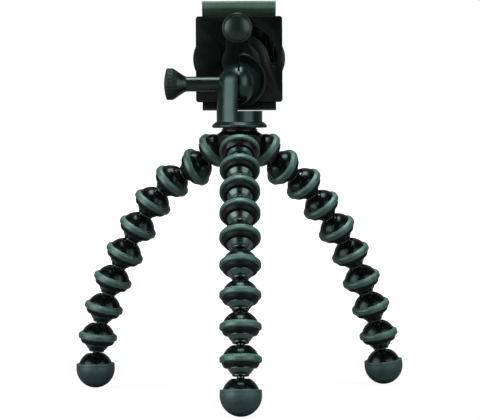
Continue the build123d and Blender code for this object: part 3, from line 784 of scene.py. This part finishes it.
    def grip(self) -> TurnedPiece:
        """Rubber grip ring.

        Returns:
            The piece.
        """
        first, last = self.ring_wide
        points = [
            (self.seat, self.ring_start),
            (self.seat + self.ring_flat, self.ring_start, 0.4),
            (self.ring - self.ring_draft, first, 1.3),
            (self.ring, last, 1.0),
            (self.dome + self.ring_cover, self.ring_end, 0.15),
            (self.seat, self.ring_end),
        ]
        return TurnedPiece("grip", Profile(points, closed=True), GRIP_RUBBER, "rubber")

    def foot_ball(self) -> TurnedPiece:
        """Foot ball with its socket.

        Returns:
            The piece.
        """
        points = self.socket_edges() + [(0.0, self.dome_drop + self.dome)]
        profile = Profile(points, arcs={0: 0.0, 3: self.dome_drop}, steps=self.foot_steps)
        return TurnedPiece("ball", profile, GLOSS_BLACK, "link")

    def foot_boot(self) -> TurnedPiece:
        """Rubber boot of the foot, with a rolled lip.

        Returns:
            The piece.
        """
        rim = self.dome_drop - self.boot_rise
        lip = across(self.boot, self.boot_rise) + self.boot_lip
        below = self.boot_rise - self.boot_start
        points = [
            (0.0, self.dome_drop + self.dome),
            (across(self.dome, self.boot_rise), rim),
            (lip, rim, 0.5),
            (lip + self.lip_flare, rim + self.lip_height, 0.5),
            (across(self.boot, below), self.dome_drop - below),
            (0.0, self.dome_drop + self.boot),
        ]
        profile = Profile(points, arcs={0: self.dome_drop, 4: self.dome_drop}, steps=self.foot_steps)
        return TurnedPiece("boot", profile, BOOT_RUBBER, "foot")


@dataclass
class FlexLeg:
    """One leg: its ring links and a foot, each on its own body.

    Args:
        leg: Which leg.
        shape: Sizes of a link and a foot.
        links: How many links.
    """

    leg: Leg
    shape: LinkShape
    links: int = 8

    def foot_centre(self) -> Vector:
        """Middle of the foot ball.

        Returns:
            The middle, in millimetres.
        """
        low, high = box_mm(f"{self.leg.value}_foot")
        return Vector(((low.x + high.x) / 2, (low.y + high.y) / 2, low.z + self.shape.boot))

    def build(self) -> list[bpy.types.Object]:
        """Builds and dresses every piece of the leg.

        Returns:
            The new pieces.
        """
        shape = self.shape
        link = (shape.cup(), shape.cone(shape.pitch), shape.grip())
        foot = (shape.foot_ball(), shape.foot_boot())
        nodes = [f"{self.leg.value}_link_{number}" for number in range(1, self.links + 1)]
        nodes.append(f"{self.leg.value}_foot")
        points = [pivot_of(node) for node in nodes] + [self.foot_centre()]
        made = []
        for node, origin, end in zip(nodes, points, points[1:]):
            place = standing(origin, (end - origin).normalized())
            parts = foot if node == nodes[-1] else link
            made += [part.build(node, place) for part in parts]
        return made


@dataclass
class HubLobes:
    """Cones and grip rings of the hub's three lobes.

    Args:
        shape: Sizes of a link, which a lobe shares.
        reach: Distance from a lobe's middle to its ball's, in millimetres.
        slope: Angle of a lobe below the horizontal, in degrees.
        turns: Turn of each lobe about Z, in degrees.
    """

    shape: LinkShape
    reach: float = 16.04
    slope: float = 40.0
    turns: dict[Leg, float] = field(
        default_factory=lambda: {Leg.FRONT: -90.0, Leg.LEFT: 150.0, Leg.RIGHT: 30.0}
    )

    def build(self) -> list[bpy.types.Object]:
        """Builds and dresses the pieces.

        Returns:
            The new pieces.
        """
        made = []
        for leg, turn in self.turns.items():
            along = Vector((1, 0, 0))
            along.rotate(Euler((0, math.radians(self.slope), math.radians(turn))))
            place = standing(pivot_of(f"{leg.value}_link_1") - along * self.reach, along)
            for node, part in (("hub_cones", self.shape.cone(self.reach)), ("hub_rings", self.shape.grip())):
                part.word = leg.value
                made.append(part.build(node, place))
        return made


def bevelled(
    mesh: bmesh.types.BMesh, edges: Sequence[bmesh.types.BMEdge], width: float, segments: int,
    **options: Setting,
) -> list[bmesh.types.BMFace]:
    """Rounds some edges of a mesh.

    Args:
        mesh: The mesh.
        edges: Its edges.
        width: Width of the rounding.
        segments: Steps of the rounding.
        **options: Further options of the operator.

    Returns:
        The new faces.
    """
    return bmesh.ops.bevel(
        mesh, geom=edges, offset=width, segments=segments, profile=0.5, affect="EDGES", material=-1, **options
    )["faces"]


@dataclass
class SoftCopy:
    """A merged copy of a CAD node whose sharp edges get a small rounding.

    Args:
        node: The CAD node.
        finish: Its finish.
        width: Width of the rounding, in millimetres.
        second: Finish of the faces beyond a depth, if it is another.
        split: That depth along Y, in millimetres.
        segments: Steps of the rounding.
        sharper: Angle in degrees above which an edge is rounded.
        flat: Angle in degrees below which two faces become one.
    """

    node: str
    finish: MouldedFinish
    width: float
    second: Optional[MouldedFinish] = None
    split: float = 0.0
    segments: int = 2
    sharper: float = 32.0
    flat: float = 0.6

    def merged(self) -> bmesh.types.BMesh:
        """Copies the node's mesh and makes its flat faces whole.

        Returns:
            The copy in millimetres.
        """
        mesh = bmesh.new()
        mesh.from_mesh(frame["nodes"][self.node].data)
        bmesh.ops.remove_doubles(mesh, verts=mesh.verts, dist=CAD_MERGE_M)
        bmesh.ops.dissolve_limit(
            mesh, angle_limit=math.radians(self.flat), use_dissolve_boundaries=False,
            verts=mesh.verts, edges=mesh.edges, delimit=set(),
        )
        bmesh.ops.transform(mesh, matrix=Matrix.Scale(1 / MM, 4), verts=mesh.verts)
        return mesh

    def build(self) -> bpy.types.Object:
        """Builds and dresses the copy.

        Returns:
            The new piece.
        """
        mesh = self.merged()
        limit = math.radians(self.sharper)
        sharp = [e for e in mesh.edges if len(e.link_faces) == 2 and e.calc_face_angle(0.0) > limit]
        bevelled(
            mesh, sharp, self.width, self.segments,
            offset_type="WIDTH", clamp_overlap=True, loop_slide=True,
        )
        if self.second:
            split_faces(mesh, lambda middle: middle.y > self.split)
        return stand_in(mesh, self.node, "soft", self.finish, self.second, degrees=40.0)


@dataclass
class JawBar:
    """A jaw: an outline across the clamp, pushed along X, with rounded ends.

    Args:
        node: The CAD node that it stands for.
        finish: Its finish.
        outline: Corners as (depth, height, rounding) from the CAD box's rear top edge.
        ends: Rounding of the edges at both ends.
        second: Finish of the faces above a height, if it is another.
        split: That height, in millimetres below the top.
    """

    node: str
    finish: MouldedFinish
    outline: Outline
    ends: float = 0.5
    second: Optional[MouldedFinish] = None
    split: float = 0.0

    def build(self) -> bpy.types.Object:
        """Builds and dresses the jaw.

        Returns:
            The new piece.
        """
        low, high = box_mm(self.node)
        mesh = bmesh.new()
        points = Profile(self.outline, closed=True).outline()
        verts = [mesh.verts.new((low.x, low.y + depth, high.z + height)) for depth, height in points]
        edges = [mesh.edges.new(pair) for pair in zip(verts, verts[1:] + verts[:1])]
        end = bmesh.ops.contextual_create(mesh, geom=edges)["faces"]
        pushed = bmesh.ops.extrude_face_region(mesh, geom=end)["geom"]
        far = [item for item in pushed if isinstance(item, bmesh.types.BMVert)]
        bmesh.ops.translate(mesh, vec=(high.x - low.x, 0, 0), verts=far)
        bmesh.ops.recalc_face_normals(mesh, faces=mesh.faces)
        rim = [edge for edge in mesh.edges if abs(edge.verts[0].co.x - edge.verts[1].co.x) < LEVEL_MM]
        bevelled(mesh, rim, self.ends, segments=3, clamp_overlap=True, loop_slide=True)
        if self.second:
            height = high.z - self.split
            everything = mesh.verts[:] + mesh.edges[:] + mesh.faces[:]
            bmesh.ops.bisect_plane(mesh, geom=everything, plane_co=(0, 0, height), plane_no=(0, 0, 1))
            split_faces(mesh, lambda middle: middle.z > height)
        return stand_in(mesh, self.node, "bar", self.finish, self.second, degrees=30.0)


@dataclass
class FlutedKnob:
    """A turned knob with flutes along its rim.

    Args:
        node: The CAD node that it stands for.
        along: Direction of its axis, from the face inwards.
        profile: Half outline as (radius, depth below the face, rounding), in millimetres.
        face_middle: Depth of the middle of the ball that the face is a part of.
        span: Depths between which the flutes run.
        deep: Depth of a flute.
        fades: Lengths over which a flute begins and ends.
        flutes: How many flutes.
        flute_turns: Pieces that the turn is divided into for each flute.
        finest: Longest piece of the outline.
        narrow: Power that makes a flute narrower than the ridge beside it.
        finish: Its finish.
        grip: Finish of the fluted rim.
        grip_share: Share of the greatest radius from which the rim has it.
    """

    node: str
    along: Vector
    profile: Outline
    face_middle: float
    span: Pair
    deep: float
    fades: Pair = (0.5, 0.8)
    flutes: int = 24
    flute_turns: int = 10
    finest: float = 0.8
    narrow: float = 1.5
    finish: MouldedFinish = KNOB_SATIN
    grip: MouldedFinish = KNOB_GRIP
    grip_share: float = 0.8

    def face_centre(self) -> Vector:
        """Middle of the knob's face.

        Returns:
            The middle, in millimetres.
        """
        low, high = box_mm(self.node)
        reach = abs(((high - low) / 2).dot(self.along))
        return (low + high) / 2 - self.along * reach

    def flute(self, vert: bmesh.types.BMVert, rim: float) -> None:
        """Moves a point of the rim in where a flute passes.

        Args:
            vert: The point.
            rim: Greatest radius of the knob.
        """
        (first, last), (begins, ends) = self.span, self.fades
        radius = math.hypot(vert.co.x, vert.co.y)
        fade = min(1.0, max(0.0, (vert.co.z - first) / begins), max(0.0, (last - vert.co.z) / ends))
        if radius < rim / 2 or fade <= 0.0:
            return
        wave = max(0.0, math.cos(math.atan2(vert.co.y, vert.co.x) * self.flutes))
        keep = 1.0 - self.deep * fade * wave**self.narrow / radius
        vert.co.x *= keep
        vert.co.y *= keep

    def build(self) -> bpy.types.Object:
        """Builds and dresses the knob.

        Returns:
            The new piece.
        """
        turns = self.flutes * self.flute_turns
        mesh = Profile(self.profile, arcs={0: self.face_middle}, turns=turns, fine=self.finest).spun()
        rim = max(corner[0] for corner in self.profile)
        for vert in mesh.verts:
            self.flute(vert, rim)
        first, last = self.span
        inner = rim * self.grip_share
        split_faces(mesh, lambda middle: first < middle.z < last and middle.xy.length > inner)
        place = standing(self.face_centre(), self.along)
        return stand_in(mesh, self.node, "turned", self.finish, self.grip, degrees=50.0, place=place)


@dataclass
class RibbedPad:
    """A rubber pad with ribs across it, on the clamp's front, in millimetres.

    Args:
        node: The CAD node that it stands for.
        finish: Its finish.
        base: Thickness below the ribs.
        corner: Rounding of its corners.
        ribs: How many ribs.
        rib_depth: Depth of a rib, half of which lies in the base.
        rib_share: Height of a rib, as a share of the ribs' pitch.
        rib_rounding: Rounding of a rib's edges.
        margin: Space above the first and below the last rib.
        side: Space at both ends of a rib between the corners.
    """

    node: str
    finish: MouldedFinish
    base: float = 0.8
    corner: float = 3.0
    ribs: int = 17
    rib_depth: float = 0.8
    rib_share: float = 0.55
    rib_rounding: float = 0.22
    margin: float = 1.0
    side: float = 1.2

    def add_rib(self, mesh: bmesh.types.BMesh, size: Vector, middle: Vector) -> None:
        """Adds one rib.

        Args:
            mesh: The pad's mesh.
            size: Size of the rib.
            middle: Its middle.
        """
        made = bmesh.ops.create_cube(mesh, size=1.0)["verts"]
        bmesh.ops.scale(mesh, vec=size, verts=made)
        edges = {edge for vert in made for edge in vert.link_edges}
        faces = bevelled(mesh, list(edges), self.rib_rounding, segments=3)
        verts = list({vert for face in faces for vert in face.verts})
        bmesh.ops.translate(mesh, vec=middle, verts=verts)

    def build(self) -> bpy.types.Object:
        """Builds and dresses the pad.

        Returns:
            The new piece.
        """
        low, high = box_mm(self.node)
        size, middle = high - low, (low + high) / 2
        mesh = bmesh.new()
        bmesh.ops.create_cube(mesh, size=1.0)
        bmesh.ops.scale(mesh, vec=(size.x, self.base, size.z), verts=mesh.verts)
        along_y = [e for e in mesh.edges if abs(e.verts[0].co.y - e.verts[1].co.y) > LEVEL_MM]
        bevelled(mesh, along_y, self.corner, segments=8)
        bmesh.ops.translate(mesh, vec=(middle.x, low.y + self.base / 2, middle.z), verts=mesh.verts)
        pitch = (size.z - 2 * self.margin) / self.ribs
        for number in range(self.ribs):
            height = low.z + self.margin + pitch * (number + 0.5)
            inset = self.corner if number in (0, self.ribs - 1) else self.side
            rib = Vector((size.x - 2 * inset, self.rib_depth, pitch * self.rib_share))
            self.add_rib(mesh, rib, Vector((middle.x, high.y - self.rib_depth / 2, height)))
        return stand_in(mesh, self.node, "ribbed", self.finish, degrees=40.0)


@dataclass
class CarriedNodes:
    """CAD nodes that keep their own mesh and get a finish.

    Args:
        nodes: The nodes of each finish.
    """

    nodes: dict[MouldedFinish, tuple[str, ...]]

    def dress(self) -> int:
        """Dresses each node.

        Returns:
            How many nodes were dressed.
        """
        for finish, names in self.nodes.items():
            for name in names:
                materials = frame["nodes"][name].data.materials
                materials.clear()
                materials.append(finish.material())
        return sum(len(names) for names in self.nodes.values())


class Shows(Enum):
    """Where a lamp shows."""

    EVERYWHERE = "everywhere"
    IN_GLOSS = "in gloss"
    IN_COLOUR = "in colour"


@dataclass(frozen=True)
class Softbox:
    """A rectangular lamp.

    Args:
        name: Its name.
        place: Where it stands, in metres.
        size: Width and height, in metres.
        power: Watts.
        shows: Whether it lights reflections, body colours or both.
    """

    name: str
    place: tuple[float, float, float]
    size: Pair
    power: float
    shows: Shows = Shows.EVERYWHERE

    def build(self, aim: Vector) -> None:
        """Sets the lamp up.

        Args:
            aim: Point that it faces.
        """
        place = Vector(self.place)
        data = bpy.data.lights.new(self.name, "AREA")
        data.shape = "RECTANGLE"
        data.size, data.size_y = self.size
        data.energy = self.power
        lamp = bpy.data.objects.new(self.name, data)
        lamp.location = place
        lamp.visible_glossy = self.shows is not Shows.IN_COLOUR
        lamp.visible_diffuse = self.shows is not Shows.IN_GLOSS
        lamp.rotation_mode = "QUATERNION"
        lamp.rotation_quaternion = (aim - place).to_track_quat("-Z", "Y")
        bpy.context.scene.collection.objects.link(lamp)


LEFT_BOX = (-1.28, -0.8, 0.5)
RIGHT_BOX = (1.1, -1.03, 0.5)
SOFTBOXES = (
    Softbox("softbox_top", (0.0, 0.0, 1.7), (0.7, 0.85), 11.0),
    Softbox("softbox_fill", (0.0, -0.35, 1.6), (1.5, 0.9), 34.0, Shows.IN_COLOUR),
    Softbox("softbox_left", LEFT_BOX, (1.6, 1.3), 13.0, Shows.IN_GLOSS),
    Softbox("softbox_left_core", LEFT_BOX, (1.0, 1.0), 15.5, Shows.IN_GLOSS),
    Softbox("softbox_left_fill", LEFT_BOX, (1.6, 1.3), 8.0, Shows.IN_COLOUR),
    Softbox("softbox_right", RIGHT_BOX, (1.3, 1.3), 7.2, Shows.IN_GLOSS),
    Softbox("softbox_right_core", RIGHT_BOX, (0.8, 1.0), 8.2, Shows.IN_GLOSS),
    Softbox("softbox_right_fill", RIGHT_BOX, (1.3, 1.3), 4.5, Shows.IN_COLOUR),
)


@dataclass
class Studio:
    """Floor, lamps, world and camera.

    Args:
        camera_back: Distance of the camera from the object's axis, in metres.
        camera_height: Its height, in metres.
        camera_side: Its place to the right, in metres.
        pitch: How far it looks down, in degrees.
        roll: How far it is turned clockwise, in degrees.
        focal_px: Its focal length, in picture pixels.
        frame_px: Width of the picture, in pixels.
        sensor: Width of the sensor, in millimetres.
        clip: Nearest and farthest distance that it sees, in metres.
        aim: Point that the lamps face, in metres.
        backdrop: Strength of the world in reflections, from the camera's side to the far side.
        backdrop_span: The direction's Y part at which each of the two is reached.
        ambient: Strength of the world for body colours.
        floor_size: Half width of the floor, in metres.
        floor_grey: Grey of the floor.
        floor_glow: Brightness of the part of the floor that glows for the camera.
        floor_share: Share of the glow beside the object and far from it.
        floor_span: Distance from the axis at which each of the two is reached, in metres.
    """

    camera_back: float = 1.3669
    camera_height: float = 0.1598
    camera_side: float = 0.00005
    pitch: float = 2.234
    roll: float = 0.296
    focal_px: float = 2383.5
    frame_px: int = 480
    sensor: float = 36.0
    clip: Pair = (0.05, 60.0)
    aim: tuple[float, float, float] = (0.0, 0.0, 0.12)
    backdrop: Pair = (0.01, 0.25)
    backdrop_span: Pair = (0.2, 0.9)
    ambient: float = 0.02
    floor_size: float = 12.0
    floor_grey: float = 0.2
    floor_glow: float = 1.35
    floor_share: Pair = (0.7, 1.0)
    floor_span: Pair = (0.15, 0.7)

    def world(self) -> None:
        """White for the camera, a pale backdrop in reflections and low fill light."""
        world = bpy.data.worlds.new("studio")
        bpy.context.scene.world = world
        world.use_nodes = True
        graph = Graph(world.node_tree)
        camera = graph.add("ShaderNodeLightPath", output="Is Camera Ray")
        glossy = graph.add("ShaderNodeLightPath", output="Is Glossy Ray")
        clear = graph.add("ShaderNodeLightPath", output="Is Transmission Ray")
        direction = graph.add("ShaderNodeTexCoord", output="Generated")
        depth = graph.add("ShaderNodeSeparateXYZ", {0: direction}, output="Y")
        seen = camera + (glossy + clear) * depth.clamped(*self.backdrop_span, *self.backdrop)
        strength = seen + (1.0 - camera) * (1.0 - glossy) * (1.0 - clear) * self.ambient
        shader = graph.add("ShaderNodeBackground", {"Color": WHITE, "Strength": strength})
        graph.add("ShaderNodeOutputWorld", {"Surface": shader})

    def floor(self) -> None:
        """Pale floor that shows only the object's soft shadow."""
        mesh = bmesh.new()
        bmesh.ops.create_grid(mesh, x_segments=1, y_segments=1, size=self.floor_size)
        data = bpy.data.meshes.new("studio_floor")
        mesh.to_mesh(data)
        mesh.free()
        floor = bpy.data.objects.new("studio_floor", data)
        bpy.context.scene.collection.objects.link(floor)
        made = bpy.data.materials.new("studio_floor")
        made.use_nodes = True
        graph = Graph(made.node_tree)
        matt = graph.add("ShaderNodeBsdfDiffuse", {"Color": (self.floor_grey,) * 3})
        glow = graph.add("ShaderNodeEmission", {"Color": WHITE, "Strength": self.floor_glow})
        camera = graph.add("ShaderNodeLightPath", output="Is Camera Ray")
        reach = graph.add("ShaderNodeVectorMath", {0: graph.place()}, output="Value", operation="LENGTH")
        share = camera * reach.clamped(*self.floor_span, *self.floor_share)
        mixed = graph.add("ShaderNodeMixShader", {0: share, 1: matt, 2: glow})
        graph.add("ShaderNodeOutputMaterial", {"Surface": mixed})
        data.materials.append(made)

    def camera(self) -> None:
        """Camera fitted to the photograph."""
        data = bpy.data.cameras.new("camera")
        data.sensor_fit = "HORIZONTAL"
        data.sensor_width = self.sensor
        data.lens = self.focal_px / self.frame_px * self.sensor
        data.clip_start, data.clip_end = self.clip
        camera = bpy.data.objects.new("camera", data)
        pitch, roll = math.radians(self.pitch), math.radians(self.roll)
        ahead = Vector((0.0, math.cos(pitch), -math.sin(pitch)))
        right, up = Vector((1.0, 0.0, 0.0)), Vector((0.0, math.sin(pitch), math.cos(pitch)))
        turned_right = right * math.cos(roll) - up * math.sin(roll)
        turned_up = up * math.cos(roll) + right * math.sin(roll)
        basis = Matrix((turned_right, turned_up, -ahead)).transposed().to_4x4()
        place = Vector((self.camera_side, -self.camera_back, self.camera_height))
        camera.matrix_world = Matrix.Translation(place) @ basis
        bpy.context.scene.collection.objects.link(camera)
        bpy.context.scene.camera = camera

    def build(self) -> None:
        """Sets the whole studio."""
        bpy.context.scene.view_settings.view_transform = "Standard"
        self.world()
        self.floor()
        for softbox in SOFTBOXES:
            softbox.build(Vector(self.aim))
        self.camera()


SOFT = (
    SoftCopy("hub_body", PLATE_BLACK, 0.3),
    SoftCopy("stem", HEAD_SATIN, 0.35),
    SoftCopy("tilt_bracket", HEAD_SATIN, 0.3, second=PLATE_BLACK, split=13.4),
    SoftCopy("clamp_plate", PLATE_BLACK, 0.4),
    SoftCopy("clamp_housing", PLATE_BLACK, 0.4),
)

UPPER_JAW_OUTLINE = (
    (0.5, 0.0, 0.5), (0.0, -1.0, 2.0), (0.0, -4.6, 2.5), (3.8, -8.7, 2.0), (10.0, -8.7, 0.4),
    (10.0, -2.4, 0.8), (20.0, -2.4, 0.8), (20.0, -5.2, 0.4), (22.0, -5.2, 0.6), (22.0, 0.0, 1.2),
)

LOWER_JAW_OUTLINE = (
    (0.0, -2.0, 0.3), (0.0, -6.8, 0.9), (19.8, -6.8, 0.9), (19.8, 0.0, 0.6), (17.8, 0.0, 0.6),
    (17.8, -4.8, 0.8), (7.8, -4.8, 0.8), (7.8, -2.0, 0.3),
)

JAWS = (
    JawBar("upper_jaw", JAW_COAT_AND_LIP_HIGHLIGHT, UPPER_JAW_OUTLINE),
    # On the lower jaw the faces above the split are black, and the bottom strip keeps the pale coat as a painted
    # highlight along the lip.
    JawBar("lower_jaw", JAW_COAT_AND_LIP_HIGHLIGHT, LOWER_JAW_OUTLINE, second=PLATE_BLACK, split=5.9),
)

LOCK_KNOB_OUTLINE = (
    (0.0, 0.0), (7.2, 1.42), (7.4, 1.7, 0.1), (7.7, 1.3, 0.25), (8.3, 1.4, 0.5), (8.8, 2.2, 0.8),
    (8.8, 7.0, 1.6), (5.9, 8.6, 2.5), (5.1, 13.58, 0.15), (0.0, 13.58),
)

TILT_KNOB_OUTLINE = (
    (0.0, 0.0), (8.0, 1.24), (9.1, 1.6, 1.0), (9.1, 5.2, 2.5), (4.3, 12.3, 4.0), (4.3, 32.3, 0.2),
    (0.0, 32.3),
)

KNOBS = (
    FlutedKnob("lock_knob", Vector((0, 1, 0)), LOCK_KNOB_OUTLINE, 19.0, span=(2.4, 7.2), deep=0.16),
    FlutedKnob("tilt_knob", Vector((1, 0, 0)), TILT_KNOB_OUTLINE, 26.4, span=(1.3, 7.6), deep=0.18),
)

CARRIED = CarriedNodes({
    BRIGHT_STEEL: (
        "hub_screw", "mount_stud", "tilt_bolt", "tilt_nut", "pivot_retainer", "pivot_screw", "lock_stud",
        "housing_screws", "lower_jaw_screws",
    ),
    PAD_RUBBER: ("hub_washer", "friction_disc", "lower_jaw_pad", "upper_jaw_pad"),
    TURNED_BRASS: ("stem_insert",),
    PLATE_BLACK: ("tilt_washer", "lock_washer"),
    # Near-black steel here is painted shade for the parts inside the clamp's slot.
    SPRING_STEEL_IN_PAINTED_SHADE: ("guide_rods", "jaw_springs", "spring_anchor"),
})


def main() -> None:
    """Builds the tripod piece by piece, logs the legs, hub lobes, soft copies and carried nodes, and sets up the
    studio.
    """
    logging.basicConfig(level=logging.INFO, format="%(name)s: %(message)s")
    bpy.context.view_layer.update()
    shape = LinkShape()
    for leg in Leg:
        made = FlexLeg(leg, shape).build()
        LOG.info("%s leg: %d pieces", leg.value, len(made))
    LOG.info("hub lobes: %d pieces", len(HubLobes(shape).build()))
    for copy in SOFT:
        piece = copy.build()
        LOG.info("%s: %d faces", piece.name, len(piece.data.polygons))
    for piece in JAWS + KNOBS:
        piece.build()
    RibbedPad("front_pad", PAD_RUBBER).build()
    LOG.info("carried nodes: %d", CARRIED.dress())
    Studio().build()
    LOG.info("boxes written")


if __name__ == "__main__":
    main()
